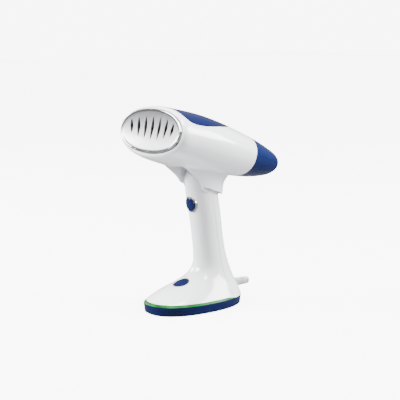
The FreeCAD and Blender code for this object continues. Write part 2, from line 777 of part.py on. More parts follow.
def plate_gasket():
    a, b = RING_HALF_WIDTH - 3.0, RING_HALF_HEIGHT - 3.0
    return head_prism(9.05, 10.4, 0.0, a, b).cut(head_prism(9.0, 11.0, 0.0, a - 3.0, b - 3.0))


BOILER = (RING_HALF_WIDTH - 6.7, RING_HALF_HEIGHT - 5.7)  # half-width and half-height
BOILER_FRONT = 10.5
BOILER_BACK = 34.0
COVER_BACK = 37.0


def boiler_corners():
    """(x, v) of the boiler's four screws."""
    return [(i * 34.0, j * 10.5) for i in (-1, 1) for j in (-1, 1)]


def boiler_body():
    """Cast boiler, hollow towards the plate, with ribs in its chamber."""
    a, b = BOILER
    block = head_prism(BOILER_FRONT, BOILER_BACK, 0.0, a, b)
    pocket = head_prism(BOILER_FRONT - 1, BOILER_BACK - 8.0, 0.0, a - 4.0, b - 4.0)
    block = block.cut(pocket)
    for x in (-18.0, 0.0, 18.0):
        rib = Part.makeBox(2.5, 10.0, 2 * b - 12.0, V(x - 1.25, BOILER_BACK - 17.5, -b + 6.0))
        block = block.fuse(rib)
    for x, v in boiler_corners():
        block = block.cut(rod(1.6, V(x, BOILER_BACK - 7.0, v), V(x, BOILER_BACK + 1, v)))
    return block.cut(rod(2.0, V(14.0, BOILER_BACK - 10.0, 0.0), V(14.0, BOILER_BACK + 1, 0.0)))


def boiler_cover():
    a, b = BOILER
    cover = head_prism(BOILER_BACK + 0.02, COVER_BACK, 0.0, a, b)
    for x, v in boiler_corners():
        cover = cover.cut(rod(1.8, V(x, BOILER_BACK - 1, v), V(x, COVER_BACK + 1, v)))
    cover = cover.cut(rod(2.0, V(14.0, BOILER_BACK - 1, 0.0), V(14.0, COVER_BACK + 1, 0.0)))
    nipple = tube(3.0, 2.0, V(14.0, COVER_BACK - 0.5, 0.0), V(14.0, COVER_BACK + 6.0, 0.0))
    return cover.fuse(nipple)


def boiler_screw_set():
    screws = []
    for x, v in boiler_corners():
        head = rod(2.9, V(x, COVER_BACK + 0.02, v), V(x, COVER_BACK + 2.2, v))
        shank = rod(1.5, V(x, BOILER_BACK - 6.0, v), V(x, COVER_BACK + 0.1, v))
        socket = rod(1.3, V(x, COVER_BACK + 1.0, v), V(x, COVER_BACK + 3.0, v))
        screws.append(head.fuse(shank).cut(socket))
    return Part.makeCompound(screws)


def heating_element():
    """Tubular element bent in a U across the cover's back."""
    s = COVER_BACK + 3.05
    r = 5.0
    half = 26.0
    a = V(-half, s, -6.2)
    b = V(half - r, s, a.z)
    c = V(half - r, s, a.z - 2 * r)
    d = V(-half, s, c.z)
    arc = Part.Arc(b, V(half, s, a.z - r), c).toShape()
    path = Part.Wire([Part.LineSegment(a, b).toShape(), arc, Part.LineSegment(c, d).toShape()])
    section = Part.Wire(Part.makeCircle(2.6, a, V(1, 0, 0)))
    coil = path.makePipeShell([section], True, False)
    return coil


def thermostat():
    """Disc thermostat on the cover with two tags."""
    s = COVER_BACK + 0.05
    can = rod(7.0, V(-12.0, s, 10.2), V(-12.0, s + 4.5, 10.2))
    out = can.fuse(rod(4.0, V(-12.0, s + 4.0, 10.2), V(-12.0, s + 7.0, 10.2)))
    for x in (-15.0, -10.0):
        out = out.fuse(Part.makeBox(1.0, 6.0, 4.0, V(x, s + 6.0, 8.2)))
    return out


def thermal_fuse():
    s = COVER_BACK + 2.4
    can = rod(2.2, V(2.0, s, 12.0), V(9.0, s, 12.0))
    return can.fuse(rod(0.7, V(-2.0, s, 12.0), V(13.0, s, 12.0)))


PUMP_X = 14.0
PUMP_V = -6.0
PUMP_FRONT = 60.0
PUMP_BACK = NECK_START - 18.0


def pump_body():
    """Solenoid pump: a barrel with a nozzle at each end."""
    v, x = PUMP_V, PUMP_X
    body = rod(6.0, V(x, PUMP_FRONT, v), V(x, PUMP_BACK, v))
    body = body.fuse(rod(2.4, V(x, PUMP_FRONT - 7, v), V(x, PUMP_FRONT + 1, v)))
    body = body.fuse(rod(2.4, V(x, PUMP_BACK - 1, v), V(x, PUMP_BACK + 6, v)))
    return body.cut(rod(1.3, V(x, PUMP_FRONT - 8, v), V(x, PUMP_BACK + 8, v)))


def pump_coil():
    """Coil and yoke round the pump's middle."""
    v, x = PUMP_V, PUMP_X
    yoke = Part.makeBox(24.0, 22.0, 24.0, V(x - 12.0, 68.0, v - 12.0))
    window = Part.makeBox(26.0, 17.0, 18.0, V(x - 13.0, 70.5, v - 9.0))
    wound = rod(10.0, V(x, 71.0, v), V(x, 87.0, v))
    wound = wound.fuse(rod(8.0, V(x, 68.5, v), V(x, 89.5, v)))
    return yoke.cut(window).fuse(wound).cut(rod(6.05, V(x, 60, v), V(x, 100, v)))


def inlet_hose():
    """Silicone hose from the tank valve's seat to the pump."""
    v, x = PUMP_V, PUMP_X
    start = PUMP_BACK + 6.05
    path = [V(x, start, v), V(x, start + 1.6, v)]
    end = V(x, BULK_FRONT - 0.05, v)
    return tube(3.4, 2.0, path[0], end)


def outlet_hose():
    """Silicone hose from the pump to the boiler."""
    v, x = PUMP_V, PUMP_X
    points = [V(x, PUMP_FRONT - 7.05, v), V(x, 49.5, v), V(x, 46.5, 0.0), V(x, COVER_BACK + 6.05, 0.0)]
    return bent_rod(2.6, points)


BULK_FRONT = NECK_START - 7.0
BULK_BACK = BULK_FRONT + 2.4


def bulkhead():
    """Wall across the barrel that carries the valve's seat."""
    slab = Part.makeBox(200, BULK_BACK - BULK_FRONT, 120, V(-100, BULK_FRONT, -60))
    wall = barrel(WALL + FIT).common(slab)
    return wall.cut(rod(3.5, V(PUMP_X, BULK_FRONT - 5, PUMP_V), V(PUMP_X, BULK_BACK + 5, PUMP_V)))


def valve_seat():
    """Socket that opens the tank's valve when the tank is home."""
    x, v = PUMP_X, PUMP_V
    body = tube(3.4, 1.6, V(x, BULK_FRONT + 0.1, v), V(x, BULK_BACK + 0.3, v))
    flange = tube(6.0, 1.6, V(x, BULK_BACK + 0.02, v), V(x, BULK_BACK + 1.6, v))
    return body.fuse(flange)


def head_leads():
    """Lead bundle from the boiler back over the hinge liner."""
    x = -16.0
    points = [V(x, 47.0, 4.0), V(x, 58.0, 5.0), V(x + 1, 70.0, -2.0), V(x + 1, 84.0, -8.0), V(x + 1, 98.0, -9.0)]
    return bent_rod(2.2, points)


# ---- Tank


def barrel_at(s):
    """(v of centre, half-width, half-height) of the barrel at a station."""
    rows = barrel_sections()
    for near, far in zip(rows, rows[1:]):
        if near[0] <= s <= far[0]:
            k = (s - near[0]) / (far[0] - near[0])
            return tuple(p + k * (q - p) for p, q in zip(near[1:], far[1:]))
    return rows[-1][1:]


def tank_neck(shrink, start, end):
    """The tank's straight neck, which passes the head's rear opening."""
    v, a, b = barrel_at(PART_EDGE)
    slack = WALL + NECK_SLACK + shrink
    return head_prism(start, end, v, a - slack, b - slack)


def water_tank():
    """Rear water tank with the neck that goes into the head."""
    rear = barrel(0.0).cut(front_of_parting(PART_R + SEAM))
    outer = rear.fuse(tank_neck(0.0, NECK_START, PART_EDGE + 3.0))
    hollow = barrel(TANK_WALL).cut(front_of_parting(PART_R + TANK_WALL + SEAM))
    tank = outer.cut(hollow).cut(tank_neck(TANK_WALL, NECK_START - 1, PART_EDGE + 3.5))
    pad = stopper_rod(STOPPER_R + 3.0, -7.0, 12.0).common(barrel(0.5))
    tank = tank.fuse(pad)
    return tank.cut(stopper_rod(STOPPER_R, -9.0, 12.0))


def stopper_rod(radius, low, high):
    """Cylinder on the stopper's axis, measured from the barrel's top there."""
    centre, _, half = barrel_at(STOPPER_S)
    return rod(radius, V(0, STOPPER_S, centre + half + low), V(0, STOPPER_S, centre + half + high))


def fill_stopper():
    """Soft bung in the tank's filling hole, flush with the tank, with a ring groove to grip."""
    plug = stopper_rod(STOPPER_R - RUN, -9.0, 12.0).common(barrel(0.0))
    groove = stopper_rod(STOPPER_R - 2.6, -4.4, 12.0).cut(stopper_rod(STOPPER_R - 4.4, -5.0, 13.0))
    return plug.cut(groove)


def tank_cap():
    """Wall that closes the front of the tank's neck."""
    cap = tank_neck(TANK_WALL + FIT, NECK_START + 0.4, NECK_START + 2.6)
    return cap.cut(rod(4.2, V(PUMP_X, NECK_START - 1, PUMP_V), V(PUMP_X, NECK_START + 9, PUMP_V)))


def tank_valve():
    """Sprung valve in the tank's front wall."""
    x, v, s = PUMP_X, PUMP_V, NECK_START
    body = rod(4.15, V(x, s - 0.6, v), V(x, s + 6.0, v))
    body = body.fuse(rod(5.6, V(x, s + 2.65, v), V(x, s + 4.4, v)))
    return body.cut(rod(2.2, V(x, s - 2, v), V(x, s + 3.5, v)))


def tank_seal():
    """O-ring round the valve's mouth."""
    x, v, s = PUMP_X, PUMP_V, NECK_START
    return tube(6.2, 4.4, V(x, s - 1.2, v), V(x, s + 0.35, v))


# ---- Files


def write(name, shape):
    """One STEP file per piece, in its place."""
    solids = shape.Solids
    out = solids[0] if len(solids) == 1 else Part.makeCompound(solids)
    print(name, len(solids), "solids", round(out.Volume), "mm3", "valid", out.isValid())
    out.exportStep(os.path.join("parts", name + ".step"))


def main():
    os.makedirs("parts", exist_ok=True)
    trigger = trigger_axis()
    power = power_axis()
    front, rear = handle_shells()
    stand = {
        "sole_pad": sole_pad(),
        "base_tray": base_tray(),
        "base_screws": base_screw_set(),
        "light_board": light_board(),
        "light_strip": strip_solid(),
        "handle_front_shell": front,
        "handle_rear_shell": rear,
        "handle_screws": handle_screw_set(),
        "trigger_bezel": bezel(trigger, TRIGGER_R, 6.0),
        "power_bezel": bezel(power, POWER_R, 6.0),
        "steam_trigger": button(trigger, TRIGGER_R, 4.0, 1.6),
        "power_button": button(power, POWER_R, 4.0, 1.0),
        "trigger_switch": switch_block(trigger, 8.0, TRIGGER_TRAVEL),
        "power_switch": switch_block(power, 8.0, POWER_TRAVEL),
        "trigger_dome": return_dome(trigger, -9.6, -4.1),
        "power_dome": return_dome(power, -9.0, -4.1),
        "control_board": control_board(),
        "handle_leads": handle_leads(),
        "strain_relief": strain_relief(),
        "cord_clamp": cord_clamp(),
        "clamp_screws": clamp_screw_set(),
        "hinge_drum": hinge_drum(),
        "hinge_bushes": hinge_bushes(),
        "hinge_axle": hinge_axle(),
        "hinge_washers": hinge_washers(),
    }
    head = {
        "head_shell": head_shell(),
        "hinge_housing": hinge_housing(),
        "top_inlay": top_inlay(),
        "plate_ring": plate_ring(),
        "steam_plate": steam_plate(),
        "plate_gasket": plate_gasket(),
        "boiler_body": boiler_body(),
        "boiler_cover": boiler_cover(),
        "boiler_screws": boiler_screw_set(),
        "heating_element": heating_element(),
        "thermostat": thermostat(),
        "thermal_fuse": thermal_fuse(),
        "pump_body": pump_body(),
        "pump_coil": pump_coil(),
        "inlet_hose": inlet_hose(),
        "outlet_hose": outlet_hose(),
        "bulkhead": bulkhead(),
        "valve_seat": valve_seat(),
        "head_leads": head_leads(),
        "water_tank": water_tank(),
        "tank_cap": tank_cap(),
        "tank_valve": tank_valve(),
        "tank_seal": tank_seal(),
        "fill_stopper": fill_stopper(),
    }
    for name, shape in stand.items():
        write(name, shape)
    for name, shape in head.items():
        write(name, placed(shape))


main()
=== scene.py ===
"""Folding garment steamer: skins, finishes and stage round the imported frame."""

import json
import math

import bmesh
import bpy
import numpy as np
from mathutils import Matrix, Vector


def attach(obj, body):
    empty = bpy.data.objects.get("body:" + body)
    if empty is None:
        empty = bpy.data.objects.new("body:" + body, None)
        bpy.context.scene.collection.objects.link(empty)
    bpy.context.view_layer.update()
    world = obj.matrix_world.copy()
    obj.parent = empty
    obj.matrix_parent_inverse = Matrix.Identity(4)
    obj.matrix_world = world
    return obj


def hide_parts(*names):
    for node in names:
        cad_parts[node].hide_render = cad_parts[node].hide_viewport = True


bl_info = {
    "name": "Folding garment steamer",
    "version": (1, 0, 0),
    "blender": (4, 5, 0),
    "location": "View3D > Sidebar > Steamer",
    "description": "Builds the skins, finishes and stage of a folding garment steamer",
    "category": "Object",
}

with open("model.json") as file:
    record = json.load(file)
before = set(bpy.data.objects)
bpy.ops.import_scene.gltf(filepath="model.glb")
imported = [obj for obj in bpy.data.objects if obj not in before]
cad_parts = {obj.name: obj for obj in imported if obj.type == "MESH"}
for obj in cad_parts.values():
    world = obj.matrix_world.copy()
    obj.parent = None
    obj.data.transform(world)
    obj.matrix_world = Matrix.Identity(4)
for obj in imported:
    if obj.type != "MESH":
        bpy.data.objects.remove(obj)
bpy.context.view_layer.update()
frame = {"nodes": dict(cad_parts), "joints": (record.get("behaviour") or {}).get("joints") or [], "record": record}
NODES = frame["nodes"]
MM = 0.001


# ---- Sizes and colours


class SteamerSizes(bpy.types.PropertyGroup):
    """Sizes of the details that the skins carry."""

    seam: bpy.props.FloatProperty(
        name="Seam", description="Gap between two mouldings", default=0.16 * MM, unit="LENGTH"
    )
    edge: bpy.props.FloatProperty(
        name="Edge", description="Rounding of a moulding's edge", default=0.35 * MM, unit="LENGTH"
    )


class SteamerColours(bpy.types.PropertyGroup):
    """Colours of the mouldings."""

    white: bpy.props.FloatVectorProperty(
        name="White", description="Body mouldings", default=(0.80, 0.81, 0.83), subtype="COLOR", min=0, max=1
    )
    blue: bpy.props.FloatVectorProperty(
        name="Blue", description="Inlay, base and buttons", default=(0.0042, 0.0082, 0.048), subtype="COLOR"
    )
    tank: bpy.props.FloatVectorProperty(
        name="Tank", description="Tinted clear tank", default=(0.0068, 0.0132, 0.062), subtype="COLOR"
    )
    glow: bpy.props.FloatVectorProperty(
        name="Glow", description="Lit strip", default=(0.001, 0.16, 0.018), subtype="COLOR"
    )


# ---- Finishes


class Nodes:
    """Short way to lay out one material's nodes."""

    def __init__(self, name):
        self.material = bpy.data.materials.new(name)
        self.material.use_nodes = True
        self.tree = self.material.node_tree
        self.tree.nodes.clear()
        self.shader = self.add("ShaderNodeBsdfPrincipled")
        self.out = self.add("ShaderNodeOutputMaterial")
        self.link(self.shader.outputs["BSDF"], self.out.inputs["Surface"])
        self.place = self.add("ShaderNodeTexCoord").outputs["Object"]

    def add(self, kind, **values):
        node = self.tree.nodes.new(kind)
        for key, value in values.items():
            setattr(node, key, value)
        return node

    def link(self, a, b):
        self.tree.links.new(a, b)

    def noise(self, scale, detail=2.0, stretch=None):
        """Cloud pattern over the piece, its scale in cycles per metre."""
        place = self.place
        if stretch:
            turn = self.add("ShaderNodeMapping")
            turn.inputs["Scale"].default_value = stretch
            self.link(place, turn.inputs["Vector"])
            place = turn.outputs["Vector"]
        node = self.add("ShaderNodeTexNoise")
        node.inputs["Scale"].default_value = scale
        node.inputs["Detail"].default_value = detail
        self.link(place, node.inputs["Vector"])
        return node.outputs["Fac"]

    def spread(self, value, low, high, start=0.3, end=0.7):
        """Carries a pattern's middle range to a new range."""
        node = self.add("ShaderNodeMapRange")
        node.inputs["From Min"].default_value = start
        node.inputs["From Max"].default_value = end
        node.inputs["To Min"].default_value = low
        node.inputs["To Max"].default_value = high
        self.link(value, node.inputs["Value"])
        return node.outputs["Result"]

    def colours(self, value, stops):
        """Colour ramp over a pattern; stops are (place, colour)."""
        node = self.add("ShaderNodeValToRGB")
        ramp = node.color_ramp
        while len(ramp.elements) < len(stops):
            ramp.elements.new(0.5)
        for element, (place, colour) in zip(ramp.elements, stops):
            element.position = place
            element.color = (*colour, 1.0)
        self.link(value, node.inputs["Fac"])
        return node.outputs["Color"]

    def bump(self, value, height, strength=1.0):
        node = self.add("ShaderNodeBump")
        node.inputs["Distance"].default_value = height
        node.inputs["Strength"].default_value = strength
        self.link(value, node.inputs["Height"])
        self.link(node.outputs["Normal"], self.shader.inputs["Normal"])

    def paint_gap_shade(self, colour):
        """Base colour with painted shade: it turns near black where the mesh's attribute for painted shade is one.
        """
        mix = self.add("ShaderNodeMix", data_type="RGBA")
        painted_shade = self.add("ShaderNodeAttribute", attribute_name="painted_shade")
        self.link(painted_shade.outputs["Fac"], mix.inputs["Factor"])
        self.link(colour, mix.inputs["A"])
        mix.inputs["B"].default_value = (0.012, 0.012, 0.014, 1)
        self.link(mix.outputs["Result"], self.shader.inputs["Base Color"])

    def set(self, **values):
        for key, value in values.items():
            self.shader.inputs[key.replace("_", " ")].default_value = value


def shade(colour, amount):
    return tuple(min(1.0, c * amount) for c in colour)


def moulded(name, colour, rough, peel=0.012, coat=0.25, clouds=0.03, gloss=0.5):
    """Injection-moulded plastic: faint flow clouds, a trace of orange peel, gloss that varies a little."""
    n = Nodes(name)
    flow = n.noise(22.0, 3.0)
    n.link(n.colours(flow, [(0.3, shade(colour, 1 - clouds)), (0.7, shade(colour, 1 + clouds))]),
           n.shader.inputs["Base Color"])
    n.link(n.spread(n.noise(60.0, 4.0), rough * 0.8, rough * 1.3), n.shader.inputs["Roughness"])
    n.bump(n.noise(700.0, 1.0), peel * MM)
    n.set(IOR=1.5, Coat_Weight=coat, Coat_Roughness=0.06, Specular_IOR_Level=gloss)
    return n.material


def matt_moulded(name, colour, rough, grain=900.0, depth=0.03):
    """Spark-textured plastic: fine grain with slightly uneven tone."""
    n = Nodes(name)
    n.link(n.colours(n.noise(35.0, 4.0), [(0.3, shade(colour, 0.9)), (0.7, shade(colour, 1.12))]),
           n.shader.inputs["Base Color"])
    n.link(n.spread(n.noise(grain, 3.0), rough * 0.85, min(1.0, rough * 1.15)), n.shader.inputs["Roughness"])
    n.bump(n.noise(grain, 3.0), depth * MM)
    return n.material


def clear_tank(name, colour):
    """Tinted clear moulding: deep blue with slow clouds and a wet gloss."""
    n = Nodes(name)
    flow = n.noise(18.0, 3.0)
    n.link(n.colours(flow, [(0.25, shade(colour, 0.82)), (0.75, shade(colour, 1.22))]),
           n.shader.inputs["Base Color"])
    n.link(n.spread(n.noise(45.0, 3.0), 0.07, 0.13), n.shader.inputs["Roughness"])
    n.bump(n.noise(300.0, 1.0), 0.01 * MM)
    n.set(IOR=1.49, Transmission_Weight=0.06, Specular_IOR_Level=0.08)
    return n.material


def lit_guide(name, colour):
    """Light guide lit from behind: brighter spots over the lamps, frosted skin."""
    n = Nodes(name)
    lamps = n.noise(75.0, 1.0)
    n.link(n.colours(lamps, [(0.3, shade(colour, 0.15)), (0.75, shade(colour, 0.35))]),
           n.shader.inputs["Base Color"])
    n.link(n.colours(lamps, [(0.3, shade(colour, 0.6)), (0.5, colour), (0.75, shade(colour, 1.9))]),
           n.shader.inputs["Emission Color"])
    n.link(n.spread(n.noise(500.0, 2.0), 0.25, 0.4), n.shader.inputs["Roughness"])
    n.set(Emission_Strength=1.35, Specular_IOR_Level=0.08)
    return n.material


def plated(name, colour, rough):
    """Bright plating: mirror-like with a faint haze and long ripples, and painted shade that turns it dark down in
    its gaps.
    """
    n = Nodes(name)
    haze = n.noise(120.0, 4.0)
    n.paint_gap_shade(n.colours(haze, [(0.3, shade(colour, 0.93)), (0.7, colour)]))
    n.link(n.spread(haze, rough * 0.7, rough * 1.5), n.shader.inputs["Roughness"])
    n.bump(n.noise(260.0, 2.0), 0.008 * MM)
    n.set(Metallic=1.0)
    return n.material


def coated_plate(name, colour):
    """Satin coated plate: fine speckle, metal under a hard coat, and painted shade that turns it dark down in the
    slots.
    """
    n = Nodes(name)
    speckle = n.noise(1600.0, 2.0)
    tone = n.colours(n.noise(16.0, 2.0), [(0.3, shade(colour, 0.95)), (0.7, shade(colour, 1.05))])
    n.paint_gap_shade(tone)
    n.link(n.spread(speckle, 0.26, 0.4), n.shader.inputs["Roughness"])
    n.bump(speckle, 0.012 * MM)
    n.set(Metallic=0.75, Coat_Weight=0.3, Coat_Roughness=0.12)
    return n.material


def cast(name, colour):
    """As-cast alloy: pitted, dull, darker in its hollows."""
    n = Nodes(name)
    pits = n.noise(420.0, 6.0)
    n.link(n.colours(pits, [(0.32, shade(colour, 0.7)), (0.62, colour)]), n.shader.inputs["Base Color"])
    n.link(n.spread(pits, 0.65, 0.42), n.shader.inputs["Roughness"])
    n.bump(pits, 0.12 * MM)
    n.set(Metallic=0.9)
    return n.material


def turned_steel(name, colour):
    """Plated steel with fine turning lines."""
    n = Nodes(name)
    lines = n.noise(240.0, 3.0, stretch=(1.0, 1.0, 9.0))
    n.link(n.colours(lines, [(0.3, shade(colour, 0.86)), (0.7, shade(colour, 1.08))]),
           n.shader.inputs["Base Color"])
    n.link(n.spread(lines, 0.2, 0.36), n.shader.inputs["Roughness"])
    n.bump(lines, 0.01 * MM)
    n.set(Metallic=1.0)
    return n.material


def soft_rubber(name, colour, rough, sheen=0.1):
    """Moulded rubber: fine matt grain, dusty in places."""
    n = Nodes(name)
    dust = n.noise(90.0, 5.0)
    n.link(n.colours(dust, [(0.35, shade(colour, 0.88)), (0.75, shade(colour, 1.15))]),
           n.shader.inputs["Base Color"])
    n.link(n.spread(n.noise(1100.0, 3.0), rough * 0.85, min(1.0, rough * 1.1)), n.shader.inputs["Roughness"])
    n.bump(n.noise(1100.0, 3.0), 0.03 * MM)
    n.set(Sheen_Weight=sheen)
    return n.material


def etched_board(name, colour):
    """Circuit board: solder mask with lighter tracks."""
    n = Nodes(name)
    tracks = n.add("ShaderNodeTexBrick")
    tracks.inputs["Scale"].default_value = 260.0
    tracks.inputs["Mortar Size"].default_value = 0.03
    tracks.inputs["Color1"].default_value = (*colour, 1)
    tracks.inputs["Color2"].default_value = (*shade(colour, 0.8), 1)
    tracks.inputs["Mortar"].default_value = (*shade(colour, 1.9), 1)
    n.link(n.place, tracks.inputs["Vector"])
    n.link(tracks.outputs["Color"], n.shader.inputs["Base Color"])
    n.link(n.spread(n.noise(200.0, 2.0), 0.3, 0.45), n.shader.inputs["Roughness"])
    return n.material


def winding(name, colour):
    """Enamelled wire laid side by side round a coil, with painted shade darkening the grooves between the turns.
    """
    n = Nodes(name)
    wave = n.add("ShaderNodeTexWave")
    wave.bands_direction = "Y"
    wave.inputs["Scale"].default_value = 300.0
    wave.inputs["Distortion"].default_value = 0.6
    n.link(n.place, wave.inputs["Vector"])
    n.link(n.colours(wave.outputs["Fac"], [(0.1, shade(colour, 0.35)), (0.6, colour)]),
           n.shader.inputs["Base Color"])
    n.link(n.spread(wave.outputs["Fac"], 0.5, 0.25, 0.0, 1.0), n.shader.inputs["Roughness"])
    n.bump(wave.outputs["Fac"], 0.15 * MM)
    n.set(Metallic=0.85)
    return n.material


def lit_table(name):
    """Pale table that glows to the camera and mirrors dimly."""
    n = Nodes(name)
    path = n.add("ShaderNodeLightPath").outputs
    mix = n.add("ShaderNodeMix", data_type="RGBA")
    n.link(path["Is Glossy Ray"], mix.inputs["Factor"])
    tone = n.colours(n.noise(3.0, 2.0), [(0.3, (0.24, 0.24, 0.245)), (0.7, (0.26, 0.26, 0.265))])
    n.link(tone, mix.inputs["A"])
    mix.inputs["B"].default_value = (0.05, 0.05, 0.05, 1)
    n.link(mix.outputs["Result"], n.shader.inputs["Base Color"])
    n.link(n.spread(path["Is Camera Ray"], 0.1, 7.5, 0.0, 1.0), n.shader.inputs["Emission Strength"])
    n.set(Roughness=0.8, Specular_IOR_Level=0.1, Emission_Color=(1, 1, 1, 1))
    return n.material


FINISHES = {}


def all_finishes(colours):
    """One material for each of the record's slots."""
    white, blue = tuple(colours.white), tuple(colours.blue)
    FINISHES.update(
        white_gloss=moulded("white_gloss", white, 0.16),
        blue_gloss=moulded("blue_gloss", blue, 0.2, coat=0.0, clouds=0.08, gloss=0.16),
        blue_clear=clear_tank("blue_clear", tuple(colours.tank)),
        green_light=lit_guide("green_light", tuple(colours.glow)),
        silver_trim=plated("silver_trim", (0.72, 0.725, 0.74), 0.08),
        plate_metal=coated_plate("plate_metal", (0.27, 0.27, 0.278)),
        cast_metal=cast("cast_metal", (0.5, 0.5, 0.52)),
        steel=turned_steel("steel", (0.56, 0.56, 0.58)),
        dark_plastic=matt_moulded("dark_plastic", (0.035, 0.035, 0.04), 0.5),
        inner_plastic=matt_moulded("inner_plastic", (0.42, 0.42, 0.44), 0.45),
        board=etched_board("board", (0.02, 0.16, 0.07)),
        copper=winding("copper", (0.7, 0.36, 0.19)),
        silicone=soft_rubber("silicone", (0.7, 0.69, 0.65), 0.45, 0.3),
        sole_rubber=soft_rubber("sole_rubber", (0.03, 0.03, 0.035), 0.75),
        white_rubber=soft_rubber("white_rubber", (0.62, 0.62, 0.63), 0.38, 0.2),
        lead_red=soft_rubber("lead_red", (0.5, 0.03, 0.02), 0.4, 0.0),
    )


class OBJECT_OT_steamer_finishes(bpy.types.Operator):
    """Makes the finishes and puts them on the frame's nodes"""

    bl_idname = "object.steamer_finishes"
    bl_label = "Finishes"

    def execute(self, context):
        all_finishes(context.scene.steamer_colours)
        for part in frame["record"]["subparts"]:
            node = NODES[part["node"]]
            node.data.materials.clear()
            node.data.materials.append(FINISHES[part["material_slot"]])
        return {"FINISHED"}


# ---- Surfaces


def through(knots, values, at):
    """Natural cubic spline: a curve through the values whose slope and bend run on smoothly at each knot."""
    x, y, at = np.asarray(knots, float), np.asarray(values, float), np.asarray(at, float)
    h = np.diff(x)
    n = len(x)
    matrix, right = np.eye(n), np.zeros(n)
    k = np.arange(1, n - 1)
    matrix[k, k - 1], matrix[k, k], matrix[k, k + 1] = h[:-1], 2 * (h[:-1] + h[1:]), h[1:]
    right[1:-1] = 6 * (np.diff(y[1:]) / h[1:] - np.diff(y[:-1]) / h[:-1])
    bend = np.linalg.solve(matrix, right)
    i = np.clip(np.searchsorted(x, at, side="right") - 1, 0, n - 2)
    p, q = (x[i + 1] - at) / h[i], (at - x[i]) / h[i]
    return p * y[i] + q * y[i + 1] + ((p**3 - p) * bend[i] + (q**3 - q) * bend[i + 1]) * h[i] ** 2 / 6


def oval(angle, power):
    """Unit superellipse: cosine and sine, each raised to 2 / power with its sign kept."""
    c, s = np.cos(angle), np.sin(angle)
    return np.sign(c) * np.abs(c) ** (2 / power), np.sign(s) * np.abs(s) ** (2 / power)


def ease(x):
    """Zero below 0, one above 1, and x * x * (3 - 2 * x) between."""
    x = np.clip(x, 0, 1)
    return x * x * (3 - 2 * x)


def dense(count, centre, width, extra):
    """Rising numbers from 0 to 1, closer together round a centre: the running sum of a bell, scaled."""
    u = np.linspace(0, 1, count - 1)
    step = 1 / (1 + extra * np.exp(-(((u - centre) / width) ** 2)))
    run = np.concatenate([[0], np.cumsum(step)])
    return run / run[-1]


def sheet_mesh(name, points, around=False, hole=None, painted_shade=None):
    """Mesh of a grid of points in millimetres: rows on the first axis, columns on the second.

    A face is left out where hole is true at all its corners; the last argument is the painted shade at each point:
    how dark it is, from 0 to 1.
    """
    rows, cols = points.shape[:2]
    i = np.arange(rows - 1)[:, None] * cols
    j = np.arange(cols if around else cols - 1)[None, :]
    a, b = i + j, i + (j + 1) % cols
    quads = np.stack([a, b, b + cols, a + cols], -1).reshape(-1, 4)
    if hole is not None:
        quads = quads[~hole.ravel()[quads].all(1)]
    mesh = bpy.data.meshes.new(name)
    mesh.vertices.add(rows * cols)
    mesh.vertices.foreach_set("co", (points * MM).astype(np.float32).ravel())
    mesh.loops.add(quads.size)
    mesh.loops.foreach_set("vertex_index", quads.astype(np.int32).ravel())
    mesh.polygons.add(len(quads))
    mesh.polygons.foreach_set("loop_start", np.arange(0, quads.size, 4, dtype=np.int32))
    mesh.update(calc_edges=True)
    if painted_shade is not None:
        depth = mesh.attributes.new("painted_shade", "FLOAT", "POINT")
        depth.data.foreach_set("value", painted_shade.astype(np.float32).ravel())
    return mesh


def finish_mesh(mesh, back=None):
    """Merges doubled points, carries an open border back along a vector, closes it and smooths the mesh."""
    work = bmesh.new()
    work.from_mesh(mesh)
    bmesh.ops.remove_doubles(work, verts=work.verts, dist=0.004 * MM)
    bmesh.ops.dissolve_degenerate(work, edges=work.edges, dist=0.001 * MM)
    bmesh.ops.delete(work, geom=[vert for vert in work.verts if not vert.link_faces], context="VERTS")
    if back is not None:
        border = [edge for edge in work.edges if edge.is_boundary]
        grown = bmesh.ops.extrude_edge_only(work, edges=border)["geom"]
        bmesh.ops.translate(
            work, verts=[g for g in grown if isinstance(g, bmesh.types.BMVert)], vec=Vector(back) * MM
        )
        bmesh.ops.holes_fill(work, edges=[edge for edge in work.edges if edge.is_boundary])
    if not any(edge.is_boundary for edge in work.edges):
        bmesh.ops.recalc_face_normals(work, faces=work.faces)
    work.to_mesh(mesh)
    work.free()
    mesh.shade_smooth()
    mesh.set_sharp_from_angle(angle=math.radians(38))
    return mesh


def piece(name, mesh, slot, body, *stands_for):
    """Adds a finished piece that rides on a body and stands for CAD nodes."""
    thing = bpy.data.objects.new(name, mesh)
    bpy.context.scene.collection.objects.link(thing)
    mesh.materials.append(FINISHES[slot])
    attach(thing, body)
    if stands_for:
        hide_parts(*stands_for)
    return thing


def in_head(x, s, v):
    """Head coordinates turned by the plate's tilt and moved to the plate's centre."""
    return np.stack([x, FACE[0] + s * COS + v * SIN, FACE[1] - s * SIN + v * COS], -1)


# ---- Handle

TILT = math.radians(14.3)
COS, SIN = math.cos(TILT), math.sin(TILT)
FACE = (-62.0, 206.0)  # y and z of the plate's centre
FOLD = next(joint for joint in frame["joints"] if joint["name"] == "head_fold")
PIVOT_Y, PIVOT_Z = FOLD["pos_m"][1] / MM, FOLD["pos_m"][2] / MM
KNUCKLE = 19.0
HANDLE = np.array(
    [
        # height, centre, half-width, half-depth, power
        (10.7, -0.1, 38.0, 62.8, 2.3),
        (15.7, 2.9, 34.6, 58.4, 2.3),
        (22.7, 9.0, 29.5, 49.7, 2.25),
        (30.0, 18.2, 24.3, 37.2, 2.2),
        (38.0, 24.5, 20.9, 27.0, 2.15),
        (46.7, 26.2, 18.5, 22.1, 2.1),
        (59.0, 24.8, 16.9, 19.55, 2.1),
        (80.6, 21.3, 16.07, 18.6, 2.1),
        (107.0, 17.3, 16.4, 18.8, 2.1),
        (126.5, 13.6, 16.73, 18.99, 2.1),
        (PIVOT_Z, PIVOT_Y, 16.73, 18.99, 2.1),
    ]
)
STRIP = ((22.6, 13.0), (38.3, 10.75))  # y and height where the lit strip begins to thin, and where it ends
SEAM_REACH = 18.0  # distance from the handle's middle that turns the seam's gap into an angle
OPENING_DEPTH = 2.1
